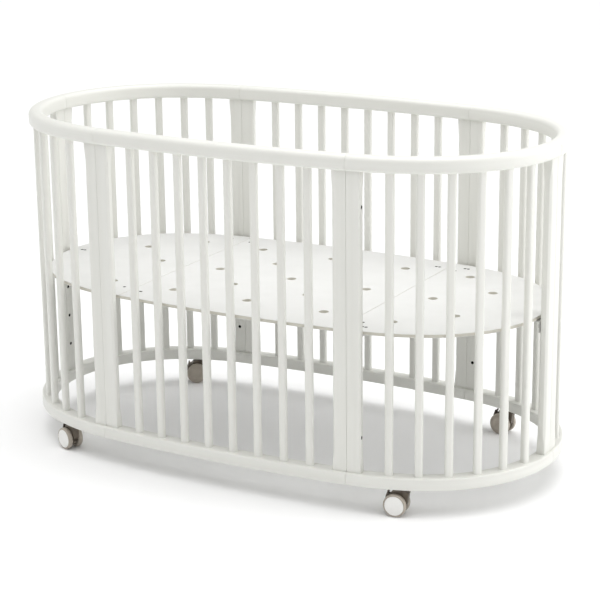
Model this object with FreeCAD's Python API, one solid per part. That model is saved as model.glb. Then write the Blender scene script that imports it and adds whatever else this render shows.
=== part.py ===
import FreeCAD, Part
import math
import os
from FreeCAD import Placement, Rotation, Vector

# Oval baby crib on four braked twin-wheel casters.  Millimetres, +Z up, +X along the length,
# the origin on the floor below the middle of the crib.  "Front" is -Y and "right" is +X.
# Six sections (two long sides, four quarter ends) meet at six double posts.

# ---------------------------------------------------------------- driving dimensions
# Plan of the rails' centreline, first quadrant: one flat side arc, then two arcs round the end.
SEAM_X = 330.0            # seam of a corner post, from the middle
SEAM_Y = 331.0
SIDE_BOW = 15.0           # how far the long side bows out between its seams
END_X = 677.5             # seam of an end post
SHOULDER_RADIUS = 500.0   # arc beside the corner post; the arc at the end follows from it

# Heights
RAIL_UNDERSIDE = 66.0
BOTTOM_RAIL_HEIGHT = 29.0
SLAT_LENGTH = 698.0       # visible, between the rails
TOP_RAIL_HEIGHT = 36.0
BASE_ABOVE_RAIL = 330.0   # mattress base's top above the bottom rail, highest setting

# Rails
TOP_RAIL_HALF_WIDTH = 17.5
BOTTOM_RAIL_HALF_WIDTH = 18.0
SEAM_CHAMFER = 0.8

# Slats and posts
SLATS_PER_SIDE = 8
SLATS_PER_END = 6
FIRST_SLAT_RATIO = 1.42   # seam to first slat, in slat pitches
SLAT_WIDTH = 19.0
SLAT_DEPTH = 16.0
SLAT_EDGE_RADIUS = 6.0
HALF_POST_WIDTH = 34.0
POST_DEPTH = 20.0
POST_SEAM_RADIUS = 1.2
POST_BEVEL = 5.0
BEVEL_STOP = 12.0         # plain length left at each end of a post's bevel
BEVEL_RUNOUT = 35.0
SLAT_TENON_RADIUS = 5.5
POST_TENON_RADIUS = 5.0
POST_TENON_RATIOS = (0.28, 0.72)   # of the half post's width, from the seam
TENON_LENGTH = 12.0

# Mattress base
BASE_THICKNESS = 9.0
BASE_INSET = 18.0         # base's edge inside the rails' centreline
BASE_SEAM_X = 297.0
BASE_EDGE_RADIUS = 2.0
PANEL_GAP = 1.0
VENT_RADIUS = 11.5
VENT_ROW = 107.0
VENT_COLUMNS = ((0.0, (-2, 0, 2)), (103.0, (-1, 1)), (206.0, (-2, 0, 2)),
                (383.0, (-2, 0, 2)), (490.0, (-1, 1)))
BASE_SETTINGS = 4
SETTING_STEP = 78.0
DOWEL_RADIUS = 3.0
DOWEL_HALF_LENGTH = 15.0
DOWEL_Y = 98.0

# Brackets under the base and the shoulder pins that they hang on
PLATE = 3.0
PIN_DROP = 15.0           # pin axis below the base's underside
PIN_NECK_RADIUS = 4.0
PIN_HEAD_RADIUS = 7.0
PIN_HEAD = 3.0
PIN_HEAD_GAP = 0.4        # pin head to the bracket's tab
PIN_SHORT_OF_INSERT = 2.0
PIN_SLOT_CLEARANCE = 0.3
TAB_GAP = 1.0             # bracket's tab to the post's inner face
TAB_HALF_WIDTH = 13.0
TAB_BELOW_PIN = 13.0
TONGUE_REACH = 40.0       # corner bracket's plate, inwards from its tab
END_PLATE_REACH = 55.0
CORNER_PLATE = ((252, 248), (252, 274), (312, 296), (338, 300), (358, 296), (358, 270),
                (330, 238), (310, 236))
SCREW_PAIR = 9.0
SCREW_HEAD_RADIUS = 4.0
SCREW_HEAD = 2.4
CORNER_PAIRS = ((344.5, 279.0), (272.0, 265.0))
CORNER_SINGLE = (326.0, 249.0)
END_PAIR = (625.0, 0.0)
SCREW_RADIUS = 1.9

# Bolts that join the sections, and the threaded inserts
BOLT_HEIGHTS = (84.0, 618.0)    # above the bottom rail
BOLT_RADIUS = 3.0
BOLT_HEAD_RADIUS = 4.3
BOLT_HEAD = 5.0
KEY_RADIUS = 2.0
KEY_DEPTH = 2.5
COUNTERBORE_RADIUS = 4.6
COUNTERBORE_DEPTH = 6.0
INSERT_RADIUS = 4.0
INSERT_LENGTH = 14.0
JOINT_INSERT_LENGTH = 20.0
BOLTS_FROM_SIDE = ("back_right",)   # corners whose bolt heads are in the side section's half

# Casters, in their own frame: X trails, Z up from the floor, the stem on the Z axis
CASTER_X = 458.0
WHEEL_RADIUS = 27.0
WHEEL_TRAIL = 18.0
WHEEL_INNER_Y = 8.5
WHEEL_WIDTH = 12.5
AXLE_RADIUS = 3.0
AXLE_HALF_LENGTH = 17.5
RUNNING_CLEARANCE = 0.05
WHEEL_EDGE_RADIUS = 3.5
CAP_RADIUS = 22.8
CAP_RECESS = 2.5
CAP_PROUD = 1.0
CAP_EDGE_RADIUS = 1.2
PLAIN_GROOVE_DEPTH = 0.8  # ring groove in the wheel that has no cap
PLAIN_GROOVE_WIDTH = 1.8
BOSS_RADIUS = 7.5
BOSS_BOTTOM = 30.0
BOSS_TOP = 62.0
JOURNAL_RADIUS = 4.5
JOURNAL_BOTTOM = 38.0
COLLAR_RADIUS = 8.0
HOOD_HALF_WIDTH = 7.0     # the hood stands between the wheels
SHROUD_RADIUS = 20.0
HOOD_PROFILE = ((-9.0, 30.0), (-11.5, 50.0), (-13.0, 58.0), (-9.5, 57.0), (-5.0, 61.0),
                (25.5, 61.0), (29.2, 52.0), (29.2, 38.0))
LEVER_PIVOT = (34.0, 46.0)
KNUCKLE_RADIUS = 4.0
KNUCKLE_HALF_WIDTH = 4.0
CHEEK_INNER_Y = 4.5
LEVER_HALF_WIDTH = 7.0
LEVER_PLATE = ((35.2, 56.5), (39.2, 46.0), (41.4, 31.0), (43.9, 31.4), (41.8, 46.3), (37.6, 57.2))
LEVER_LIP = (36.6, 56.6)
LEVER_LIP_RADIUS = 1.9
TRUNNION_RADIUS = 2.0
SOCKET_RADIUS = 7.0
SOCKET_DEPTH = 26.0
SOCKET_ROOF = 1.5
FLANGE_RADIUS = 11.0
FLANGE_THICKNESS = 1.5
STEM_RADIUS = 5.5
STEM_SHORT_OF_SOCKET = 3.0
# Rest swivel angle of each caster, from +X to its trail, and the side (+1 or -1) of its white cap
CASTERS = {"front_left": (-1, -1, 159.0, 1), "front_right": (1, -1, 188.0, 1),
           "back_left": (-1, 1, 218.0, -1), "back_right": (1, 1, 173.0, -1)}

# ---------------------------------------------------------------- derived heights
POST_BOTTOM = RAIL_UNDERSIDE + BOTTOM_RAIL_HEIGHT
POST_TOP = POST_BOTTOM + SLAT_LENGTH
BASE_TOP = POST_BOTTOM + BASE_ABOVE_RAIL
BASE_BOTTOM = BASE_TOP - BASE_THICKNESS
PIN_HEIGHT = BASE_BOTTOM - PIN_DROP
POST_FACE = POST_DEPTH / 2

UP = Vector(0, 0, 1)
ORIGIN = Vector(0, 0, 0)


# ---------------------------------------------------------------- plan curve
class PlanArc:
    """An arc in plan.  Its angles are of the outward normal, clockwise from +Y."""

    def __init__(self, center, radius, start, end):
        self.center = center
        self.radius = radius
        self.start = start
        self.end = end
        self.length = radius * (end - start)

    def point(self, angle, offset=0.0, z=0.0):
        reach = self.radius + offset
        return Vector(self.center[0] + reach * math.sin(angle),
                      self.center[1] + reach * math.cos(angle), z)


def plan_arcs():
    """The side arc, and the two arcs of the back right end, tangent to each other."""
    side_radius = (SEAM_X ** 2 + SIDE_BOW ** 2) / (2 * SIDE_BOW)
    seam_angle = math.asin(SEAM_X / side_radius)
    side_center = (0.0, SEAM_Y + SIDE_BOW - side_radius)
    shoulder_center = (SEAM_X - SHOULDER_RADIUS * math.sin(seam_angle),
                       SEAM_Y - SHOULDER_RADIUS * math.cos(seam_angle))
    reach = END_X - shoulder_center[0]
    nose_radius = ((SHOULDER_RADIUS ** 2 - reach ** 2 - shoulder_center[1] ** 2)
                   / (2 * (SHOULDER_RADIUS - reach)))
    nose_center = (END_X - nose_radius, 0.0)
    blend = math.atan2(nose_center[0] - shoulder_center[0], nose_center[1] - shoulder_center[1])
    side = [PlanArc(side_center, side_radius, -seam_angle, seam_angle)]
    end = [PlanArc(shoulder_center, SHOULDER_RADIUS, seam_angle, blend),
           PlanArc(nose_center, nose_radius, blend, math.pi / 2)]
    return side, end


SIDE_PATH, END_PATH = plan_arcs()


def place_at(arc, angle):
    """Placement on the centreline: local X runs along the rail, Y points out of the crib."""
    return Placement(arc.point(angle), Rotation(UP, -math.degrees(angle)))


def place_along(path, distance):
    for arc in path:
        if distance <= arc.length or arc is path[-1]:
            return place_at(arc, arc.start + distance / arc.radius)
        distance -= arc.length


CORNER_SEAM = place_at(END_PATH[0], END_PATH[0].start)
END_SEAM = place_at(END_PATH[1], END_PATH[1].end)


# ---------------------------------------------------------------- small helpers
def placed(shape, placement):
    copy = shape.copy()
    copy.Placement = placement.multiply(copy.Placement)
    return copy


def mirror_x(shape):
    return shape.mirror(ORIGIN, Vector(1, 0, 0))


def mirror_y(shape):
    return shape.mirror(ORIGIN, Vector(0, 1, 0))


def as_is(shape):
    return shape


def mirror_both(shape):
    return mirror_x(mirror_y(shape))


QUADRANTS = {"back_right": as_is, "back_left": mirror_x,
             "front_right": mirror_y, "front_left": mirror_both}


def all_quadrants(shapes):
    return [move(shape) for move in QUADRANTS.values() for shape in shapes]


def at_corners(shapes):
    return all_quadrants([placed(shape, CORNER_SEAM) for shape in shapes])


def at_both_ends(shapes):
    placed_shapes = [placed(shape, END_SEAM) for shape in shapes]
    return placed_shapes + [mirror_x(shape) for shape in placed_shapes]


def rod(radius, start, end):
    axis = Vector(*end) - Vector(*start)
    return Part.makeCylinder(radius, axis.Length, Vector(*start), axis)


def block(x, y, z):
    """A box between pairs of limits."""
    return Part.makeBox(x[1] - x[0], y[1] - y[0], z[1] - z[0], Vector(x[0], y[0], z[0]))


def cut_all(shape, tools):
    for tool in tools:
        shape = shape.cut(tool)
    return shape


def prism(points, direction):
    return Part.Face(Part.makePolygon(points + points[:1])).extrude(direction)


def upright_edges(shape, test):
    """Vertical edges of a shape whose (x, y) passes a test."""
    found = []
    for edge in shape.Edges:
        low, high = edge.BoundBox.ZMin, edge.BoundBox.ZMax
        if high - low > 1.0 and edge.BoundBox.XLength < 1e-3 and edge.BoundBox.YLength < 1e-3:
            if test(edge.BoundBox.XMin, edge.BoundBox.YMin):
                found.append(edge)
    return found


def save(name, solids):
    shape = solids[0] if len(solids) == 1 else Part.makeCompound(solids)
    if not shape.isValid():
        print("INVALID", name)
    shape.exportStep(os.path.join("parts", name + ".step"))
    print("%-28s solids %3d  volume %10.0f" % (name, len(shape.Solids), shape.Volume))


# ---------------------------------------------------------------- rails
def rail_profile(arc, half_width, low, high, radii):
    """The rail's section at the start of an arc; radii run outer top, inner top,
    inner bottom, outer bottom."""
    corners = [(half_width, high), (-half_width, high), (-half_width, low), (half_width, low)]
    inward = [(-1, -1), (1, -1), (1, 1), (-1, 1)]
    bulge = 1 - math.sqrt(0.5)

    def at(offset, z):
        return arc.point(arc.start, offset, z)

    starts, middles, ends = [], [], []
    for index, ((u, z), (su, sz), radius) in enumerate(zip(corners, inward, radii)):
        along_z = (u, z + sz * radius)
        along_u = (u + su * radius, z)
        first, last = (along_z, along_u) if index % 2 == 0 else (along_u, along_z)
        starts.append(at(*first))
        middles.append(at(u + su * radius * bulge, z + sz * radius * bulge))
        ends.append(at(*last))
    edges = []
    for index in range(4):
        edges.append(Part.Arc(starts[index], middles[index], ends[index]).toShape())
        edges.append(Part.makeLine(ends[index], starts[(index + 1) % 4]))
    return Part.Face(Part.Wire(edges))


def rail(path, half_width, low, high, radii):
    solid = None
    for arc in path:
        face = rail_profile(arc, half_width, low, high, radii)
        axis_point = Vector(arc.center[0], arc.center[1], 0)
        piece = face.revolve(axis_point, UP, -math.degrees(arc.end - arc.start))
        solid = piece if solid is None else solid.fuse(piece)
    return chamfer_ends(solid, path)


def chamfer_ends(solid, path):
    """Break the edges of a rail's two end faces, so that the seams show as fine grooves."""
    edges = []
    for arc, angle in ((path[0], path[0].start), (path[-1], path[-1].end)):
        seam = place_at(arc, angle)
        along = seam.Rotation.multVec(Vector(1, 0, 0))
        for face in solid.Faces:
            normal = face.normalAt(0, 0)
            close = abs((face.CenterOfMass - seam.Base).dot(along)) < 0.01
            if close and abs(abs(normal.dot(along)) - 1) < 1e-6:
                edges.extend(face.Edges)
    return solid.makeChamfer(SEAM_CHAMFER, edges)


def top_rail(path):
    return rail(path, TOP_RAIL_HALF_WIDTH, POST_TOP, POST_TOP + TOP_RAIL_HEIGHT,
                (14.0, 11.0, 6.0, 9.0))


def bottom_rail(path):
    return rail(path, BOTTOM_RAIL_HALF_WIDTH, RAIL_UNDERSIDE, POST_BOTTOM, (4.0, 4.0, 3.0, 3.0))


# ---------------------------------------------------------------- slats
def slat():
    body = block((-SLAT_WIDTH / 2, SLAT_WIDTH / 2), (-SLAT_DEPTH / 2, SLAT_DEPTH / 2),
                 (POST_BOTTOM, POST_TOP))
    body = body.makeFillet(SLAT_EDGE_RADIUS, upright_edges(body, lambda x, y: True))
    tenon = rod(SLAT_TENON_RADIUS, (0, 0, POST_BOTTOM - TENON_LENGTH),
                (0, 0, POST_TOP + TENON_LENGTH))
    return body.fuse(tenon).removeSplitter()


def slat_places(path, count):
    length = sum(arc.length for arc in path)
    pitch = length / (count - 1 + 2 * FIRST_SLAT_RATIO)
    return [place_along(path, (FIRST_SLAT_RATIO + index) * pitch) for index in range(count)]


# ---------------------------------------------------------------- posts
def stopped_bevel(x, y, side):
    """Tool that bevels the upright edge at (x, y), running out to nothing at each end."""
    ends = (POST_BOTTOM + BEVEL_STOP, POST_TOP - BEVEL_STOP)
    full = (ends[0] + BEVEL_RUNOUT, ends[1] - BEVEL_RUNOUT)
    sign = 1 if y > 0 else -1
    tip = [Vector(x, y, z) for z in ends]
    ring = [[Vector(x, y, z), Vector(x - side * POST_BEVEL, y, z),
             Vector(x, y - sign * POST_BEVEL, z)] for z in full]
    low, high = ring
    faces = [(low[0], low[1], high[1], high[0]), (low[1], low[2], high[2], high[1]),
             (low[2], low[0], high[0], high[2])]
    for apex, base in zip(tip, ring):
        faces += [(apex, base[0], base[1]), (apex, base[1], base[2]), (apex, base[2], base[0])]
    shell = Part.makeShell([Part.Face(Part.makePolygon(list(f) + [f[0]])) for f in faces])
    tool = Part.makeSolid(shell)
    if tool.Volume < 0:
        tool.reverse()
    return tool


def half_post(side):
    """Half of a double post, from the seam (x = 0) towards side (+1 or -1)."""
    limits = sorted((0.0, side * HALF_POST_WIDTH))
    body = block(limits, (-POST_FACE, POST_FACE), (POST_BOTTOM, POST_TOP))
    body = body.makeFillet(POST_SEAM_RADIUS, upright_edges(body, lambda x, y: abs(x) < 0.01))
    for y in (-POST_FACE, POST_FACE):
        body = body.cut(stopped_bevel(side * HALF_POST_WIDTH, y, side))
    for tenon in post_tenons(side):
        body = body.fuse(tenon)
    return body.removeSplitter()


def post_tenons(side):
    return [rod(POST_TENON_RADIUS, (side * x, 0, POST_BOTTOM - TENON_LENGTH),
                (side * x, 0, POST_TOP + TENON_LENGTH))
            for x in [ratio * HALF_POST_WIDTH for ratio in POST_TENON_RATIOS]]


# ---------------------------------------------------------------- joining hardware
def section_bolts(side):
    """Bolts whose heads are sunk in the half post on the given side of the seam."""
    seat = HALF_POST_WIDTH - COUNTERBORE_DEPTH
    bolts = []
    for height in BOLT_HEIGHTS:
        z = POST_BOTTOM + height
        shank = rod(BOLT_RADIUS, (-side * JOINT_INSERT_LENGTH, 0, z), (side * seat, 0, z))
        head = rod(BOLT_HEAD_RADIUS, (side * seat, 0, z), (side * (seat + BOLT_HEAD), 0, z))
        key = hexagon_along_x(side * (seat + BOLT_HEAD), -side * KEY_DEPTH, z)
        bolts.append(shank.fuse(head).cut(key))
    return bolts


def hexagon_along_x(x, depth, z):
    corners = [math.radians(angle) for angle in range(0, 360, 60)]
    points = [Vector(x, KEY_RADIUS * math.cos(a), z + KEY_RADIUS * math.sin(a)) for a in corners]
    return prism(points, Vector(depth, 0, 0))


def bolt_holes(side):
    seat = HALF_POST_WIDTH - COUNTERBORE_DEPTH
    holes = []
    for height in BOLT_HEIGHTS:
        z = POST_BOTTOM + height
        holes.append(rod(BOLT_RADIUS, (-side, 0, z), (side * seat, 0, z)))
        holes.append(rod(COUNTERBORE_RADIUS, (side * seat, 0, z),
                         (side * (HALF_POST_WIDTH + 1), 0, z)))
    return holes


def joint_inserts(side):
    """Threaded sleeves in the half post opposite the bolt heads."""
    inserts = []
    for height in BOLT_HEIGHTS:
        z = POST_BOTTOM + height
        start = (-side * POST_SEAM_RADIUS, 0, z)
        end = (-side * JOINT_INSERT_LENGTH, 0, z)
        inserts.append(rod(INSERT_RADIUS, start, end).cut(rod(BOLT_RADIUS, (0, 0, z), end)))
    return inserts


def insert_seats(side):
    return [rod(INSERT_RADIUS, (0, 0, POST_BOTTOM + height),
                (-side * JOINT_INSERT_LENGTH, 0, POST_BOTTOM + height)) for height in BOLT_HEIGHTS]


def setting_heights():
    return [PIN_HEIGHT - SETTING_STEP * index for index in range(BASE_SETTINGS)]


def setting_insert_seats(side):
    x = side * HALF_POST_WIDTH / 2
    return [rod(INSERT_RADIUS, (x, -POST_FACE, z), (x, INSERT_LENGTH - POST_FACE, z))
            for z in setting_heights()]


def setting_inserts(side):
    """Threaded sleeves for the base's pins, open on the post's inner face."""
    x = side * HALF_POST_WIDTH / 2
    return [seat.cut(rod(BOLT_RADIUS, (x, -POST_FACE, z), (x, INSERT_LENGTH - POST_FACE, z)))
            for seat, z in zip(setting_insert_seats(side), setting_heights())]


def base_pin(side):
    """Shoulder pin in the highest insert; the base's bracket hangs on its neck."""
    x = side * HALF_POST_WIDTH / 2
    head_at = -POST_FACE - TAB_GAP - PLATE - PIN_HEAD_GAP
    shank_end = INSERT_LENGTH - POST_FACE - PIN_SHORT_OF_INSERT
    shank = rod(BOLT_RADIUS, (x, -POST_FACE, PIN_HEIGHT), (x, shank_end, PIN_HEIGHT))
    neck = rod(PIN_NECK_RADIUS, (x, head_at, PIN_HEIGHT), (x, -POST_FACE, PIN_HEIGHT))
    head = rod(PIN_HEAD_RADIUS, (x, head_at - PIN_HEAD, PIN_HEIGHT), (x, head_at, PIN_HEIGHT))
    return shank.fuse(neck).fuse(head)


# ---------------------------------------------------------------- mattress base
def base_outline():
    """Closed plan outline of the whole base, inset from the rails' centreline."""
    def edge(arc, flip_x, flip_y):
        angles = (arc.start, (arc.start + arc.end) / 2, arc.end)
        points = [arc.point(angle, -BASE_INSET, BASE_BOTTOM) for angle in angles]
        return Part.Arc(*[Vector(p.x * flip_x, p.y * flip_y, p.z) for p in points]).toShape()

    edges = [edge(SIDE_PATH[0], 1, flip_y) for flip_y in (1, -1)]
    edges += [edge(arc, fx, fy) for arc in END_PATH for fx in (1, -1) for fy in (1, -1)]
    return Part.Wire(Part.__sortEdges__(edges))


def base_screw_points():
    """Where the base is screwed to its brackets."""
    def pair(x, y):
        return [(x - SCREW_PAIR / 2, y), (x + SCREW_PAIR / 2, y)]

    corner = [point for middle in CORNER_PAIRS for point in pair(*middle)] + [CORNER_SINGLE]
    points = [(sx * x, sy * y) for x, y in corner for sx in (1, -1) for sy in (1, -1)]
    return points + [(sx * x, y) for x, y in pair(*END_PAIR) for sx in (1, -1)]


def base_screw(x, y):
    neck = BASE_TOP - SCREW_HEAD
    head = Part.makeCone(SCREW_RADIUS, SCREW_HEAD_RADIUS, SCREW_HEAD, Vector(x, y, neck))
    shank = rod(SCREW_RADIUS, (x, y, BASE_BOTTOM - PLATE), (x, y, neck))
    return head.fuse(shank)


def base_dowels():
    middle = BASE_BOTTOM + BASE_THICKNESS / 2
    return [rod(DOWEL_RADIUS, (sx * BASE_SEAM_X - DOWEL_HALF_LENGTH, sy * DOWEL_Y, middle),
                (sx * BASE_SEAM_X + DOWEL_HALF_LENGTH, sy * DOWEL_Y, middle))
            for sx in (1, -1) for sy in (1, -1)]


def base_vents():
    vents = []
    for x, rows in VENT_COLUMNS:
        for sign in (1, -1) if x else (1,):
            for row in rows:
                spot = Vector(sign * x, row * VENT_ROW, BASE_BOTTOM)
                vents.append(Part.makeCylinder(VENT_RADIUS, BASE_THICKNESS, spot))
    return vents


def base_panels(screws, dowels):
    slab = Part.Face(base_outline()).extrude(Vector(0, 0, BASE_THICKNESS))
    rim = [edge for edge in slab.Edges if edge.BoundBox.ZLength < 1e-3]
    slab = slab.makeFillet(BASE_EDGE_RADIUS, rim)
    slab = slab.cut(Part.makeCompound(base_vents()))
    slab = cut_all(slab, screws + dowels)
    inner = BASE_SEAM_X - PANEL_GAP / 2
    outer = BASE_SEAM_X + PANEL_GAP / 2
    spans = {"left": (-END_X, -outer), "center": (-inner, inner), "right": (outer, END_X)}
    return {name: slab.common(block(span, (-END_X, END_X), (BASE_BOTTOM - 1, BASE_TOP + 1)))
            for name, span in spans.items()}


def hook_tab(side):
    """Upright tab of a bracket beside a post, with a slot open at its bottom for the pin."""
    x = side * HALF_POST_WIDTH / 2
    outer = -POST_FACE - TAB_GAP
    tab = block((x - TAB_HALF_WIDTH, x + TAB_HALF_WIDTH), (outer - PLATE, outer),
                (PIN_HEIGHT - TAB_BELOW_PIN, BASE_BOTTOM))
    radius = PIN_NECK_RADIUS + PIN_SLOT_CLEARANCE
    slot = rod(radius, (x, outer - PLATE, PIN_HEIGHT), (x, outer, PIN_HEIGHT))
    mouth = block((x - radius, x + radius), (outer - PLATE, outer),
                  (PIN_HEIGHT - TAB_BELOW_PIN, PIN_HEIGHT))
    return tab.cut(slot).cut(mouth)


def corner_bracket():
    """Back right corner: a plate under both panels, turned down into a tab at the post."""
    level = BASE_BOTTOM - PLATE
    plate = prism([Vector(x, y, level) for x, y in CORNER_PLATE], Vector(0, 0, PLATE))
    middle = HALF_POST_WIDTH / 2
    face = -POST_FACE - TAB_GAP
    tongue = block((middle - TAB_HALF_WIDTH, middle + TAB_HALF_WIDTH),
                   (face - TONGUE_REACH, face), (level, BASE_BOTTOM))
    bent = tongue.fuse(hook_tab(1))
    return plate.fuse(placed(bent, CORNER_SEAM)).removeSplitter()


def end_bracket():
    """Right end: one plate with two tabs, one for each half of the end post."""
    reach = HALF_POST_WIDTH / 2 + TAB_HALF_WIDTH
    face = -POST_FACE - TAB_GAP
    plate = block((-reach, reach), (face - END_PLATE_REACH, face),
                  (BASE_BOTTOM - PLATE, BASE_BOTTOM))
    shape = plate.fuse(hook_tab(1)).fuse(hook_tab(-1)).removeSplitter()
    return placed(shape, END_SEAM)


# ---------------------------------------------------------------- casters
def caster_centerline_y():
    arc = END_PATH[0]
    return arc.center[1] + math.sqrt(arc.radius ** 2 - (CASTER_X - arc.center[0]) ** 2)


def caster_socket():
    roof = RAIL_UNDERSIDE + SOCKET_DEPTH
    sleeve = rod(SOCKET_RADIUS, (0, 0, RAIL_UNDERSIDE), (0, 0, roof))
    flange = rod(FLANGE_RADIUS, (0, 0, RAIL_UNDERSIDE - FLANGE_THICKNESS), (0, 0, RAIL_UNDERSIDE))
    bore = rod(STEM_RADIUS, (0, 0, 0), (0, 0, roof - SOCKET_ROOF))
    return sleeve.fuse(flange).cut(bore)


def caster_stem():
    shoulder = RAIL_UNDERSIDE - FLANGE_THICKNESS
    collar_bottom = BOSS_TOP + 0.5
    top = rod(STEM_RADIUS, (0, 0, shoulder),
              (0, 0, RAIL_UNDERSIDE + SOCKET_DEPTH - STEM_SHORT_OF_SOCKET))
    collar = rod(COLLAR_RADIUS, (0, 0, collar_bottom), (0, 0, shoulder))
    journal = rod(JOURNAL_RADIUS, (0, 0, JOURNAL_BOTTOM), (0, 0, collar_bottom))
    return top.fuse(collar).fuse(journal)


def wheel_rod(radius, low_y, high_y):
    return rod(radius, (WHEEL_TRAIL, low_y, WHEEL_RADIUS), (WHEEL_TRAIL, high_y, WHEEL_RADIUS))


def pivot_rod(radius, low_y, high_y):
    return rod(radius, (LEVER_PIVOT[0], low_y, LEVER_PIVOT[1]), (LEVER_PIVOT[0], high_y, LEVER_PIVOT[1]))


def plate_between(points, low_y, high_y):
    """A plate of the given XZ outline between two planes across the caster."""
    return prism([Vector(x, low_y, z) for x, z in points], Vector(0, high_y - low_y, 0))


def caster_hood():
    """Body between the wheels, round boss for the stem, and the knuckle for the lever."""
    half = HOOD_HALF_WIDTH
    hood = plate_between(HOOD_PROFILE, -half, half).fuse(wheel_rod(SHROUD_RADIUS, -half, half))
    hood = hood.fuse(rod(BOSS_RADIUS, (0, 0, BOSS_BOTTOM), (0, 0, BOSS_TOP)))
    px, pz = LEVER_PIVOT
    face = max(x for x, z in HOOD_PROFILE)
    arm = [(face - 1, pz + KNUCKLE_RADIUS), (px, pz + KNUCKLE_RADIUS),
           (px, pz - KNUCKLE_RADIUS), (face - 1, pz - KNUCKLE_RADIUS)]
    hood = hood.fuse(plate_between(arm, -KNUCKLE_HALF_WIDTH, KNUCKLE_HALF_WIDTH))
    hood = hood.fuse(pivot_rod(KNUCKLE_RADIUS, -KNUCKLE_HALF_WIDTH, KNUCKLE_HALF_WIDTH))
    bore = JOURNAL_RADIUS + RUNNING_CLEARANCE
    hood = hood.cut(rod(bore, (0, 0, JOURNAL_BOTTOM - 0.5), (0, 0, BOSS_TOP + 1)))
    hood = hood.cut(wheel_rod(AXLE_RADIUS, -half, half))
    hood = hood.cut(pivot_rod(TRUNNION_RADIUS + RUNNING_CLEARANCE, -half, half))
    return hood.removeSplitter()


def brake_lever():
    """Pedal plate with a rounded lip, two cheeks astride the knuckle and their pin."""
    px, pz = LEVER_PIVOT
    half = LEVER_HALF_WIDTH
    lever = plate_between(LEVER_PLATE, -half, half)
    lever = lever.fuse(rod(LEVER_LIP_RADIUS, (LEVER_LIP[0], -half, LEVER_LIP[1]),
                           (LEVER_LIP[0], half, LEVER_LIP[1])))
    reach = LEVER_PLATE[4][0] - 1
    arm = [(px, pz + KNUCKLE_RADIUS), (reach - 1, pz + KNUCKLE_RADIUS),
           (reach, pz - KNUCKLE_RADIUS), (px, pz - KNUCKLE_RADIUS)]
    for low, high in ((-half, -CHEEK_INNER_Y), (CHEEK_INNER_Y, half)):
        lever = lever.fuse(pivot_rod(KNUCKLE_RADIUS, low, high)).fuse(plate_between(arm, low, high))
    return lever.fuse(pivot_rod(TRUNNION_RADIUS, -half, half)).removeSplitter()


def wheel(side, capped):
    """One of the twin wheels, on the given side of the hood's web."""
    inner = WHEEL_INNER_Y
    outer = WHEEL_INNER_Y + WHEEL_WIDTH
    body = wheel_rod(WHEEL_RADIUS, inner, outer)
    body = body.makeFillet(WHEEL_EDGE_RADIUS, [e for e in body.Edges if e.BoundBox.YLength < 1e-3])
    bore = wheel_rod(AXLE_RADIUS + RUNNING_CLEARANCE, inner - 1, AXLE_HALF_LENGTH + 0.5)
    if capped:
        recess = wheel_rod(CAP_RADIUS, outer - CAP_RECESS, outer + 1)
    else:
        floor = outer - PLAIN_GROOVE_DEPTH
        recess = wheel_rod(CAP_RADIUS, floor, outer + 1).cut(
            wheel_rod(CAP_RADIUS - PLAIN_GROOVE_WIDTH, floor, outer + 1))
    body = body.cut(bore).cut(recess)
    return body if side > 0 else mirror_y(body)


def wheel_cap(side):
    outer = WHEEL_INNER_Y + WHEEL_WIDTH
    cap = wheel_rod(CAP_RADIUS, outer - CAP_RECESS, outer + CAP_PROUD)
    rim = [e for e in cap.Edges if e.BoundBox.YLength < 1e-3 and e.BoundBox.YMin > outer]
    cap = cap.makeFillet(CAP_EDGE_RADIUS, rim)
    return cap if side > 0 else mirror_y(cap)


def axle():
    return wheel_rod(AXLE_RADIUS, -AXLE_HALF_LENGTH, AXLE_HALF_LENGTH)


# ---------------------------------------------------------------- assembly
def build_frame():
    slat_shape = slat()
    side_slats = [placed(slat_shape, place) for place in slat_places(SIDE_PATH, SLATS_PER_SIDE)]
    end_slats = [placed(slat_shape, place) for place in slat_places(END_PATH, SLATS_PER_END)]
    save("slats_back", side_slats)
    save("slats_front", [mirror_y(s) for s in side_slats])
    for name, move in QUADRANTS.items():
        save("slats_" + name, [move(s) for s in end_slats])

    corner_tenons = {side: [placed(t, CORNER_SEAM) for t in post_tenons(side)] for side in (-1, 1)}
    end_tenons = [placed(t, END_SEAM) for t in post_tenons(-1)]
    side_tools = side_slats + corner_tenons[-1] + [mirror_x(t) for t in corner_tenons[-1]]
    end_tools = end_slats + corner_tenons[1] + end_tenons
    caster_place = Placement(Vector(CASTER_X, caster_centerline_y(), 0), Rotation())
    socket = rod(SOCKET_RADIUS, (0, 0, RAIL_UNDERSIDE), (0, 0, RAIL_UNDERSIDE + SOCKET_DEPTH))
    socket_seat = placed(socket, caster_place)

    for level, make in (("top", top_rail), ("bottom", bottom_rail)):
        side_rail = cut_all(make(SIDE_PATH), side_tools)
        save(level + "_rail_back", [side_rail])
        save(level + "_rail_front", [mirror_y(side_rail)])
        end_rail = cut_all(make(END_PATH), end_tools)
        if level == "bottom":
            end_rail = end_rail.cut(socket_seat)
        for name, move in QUADRANTS.items():
            save(level + "_rail_" + name, [move(end_rail)])


def half_with(side, cuts, seam):
    return placed(cut_all(half_post(side), cuts), seam)


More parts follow.
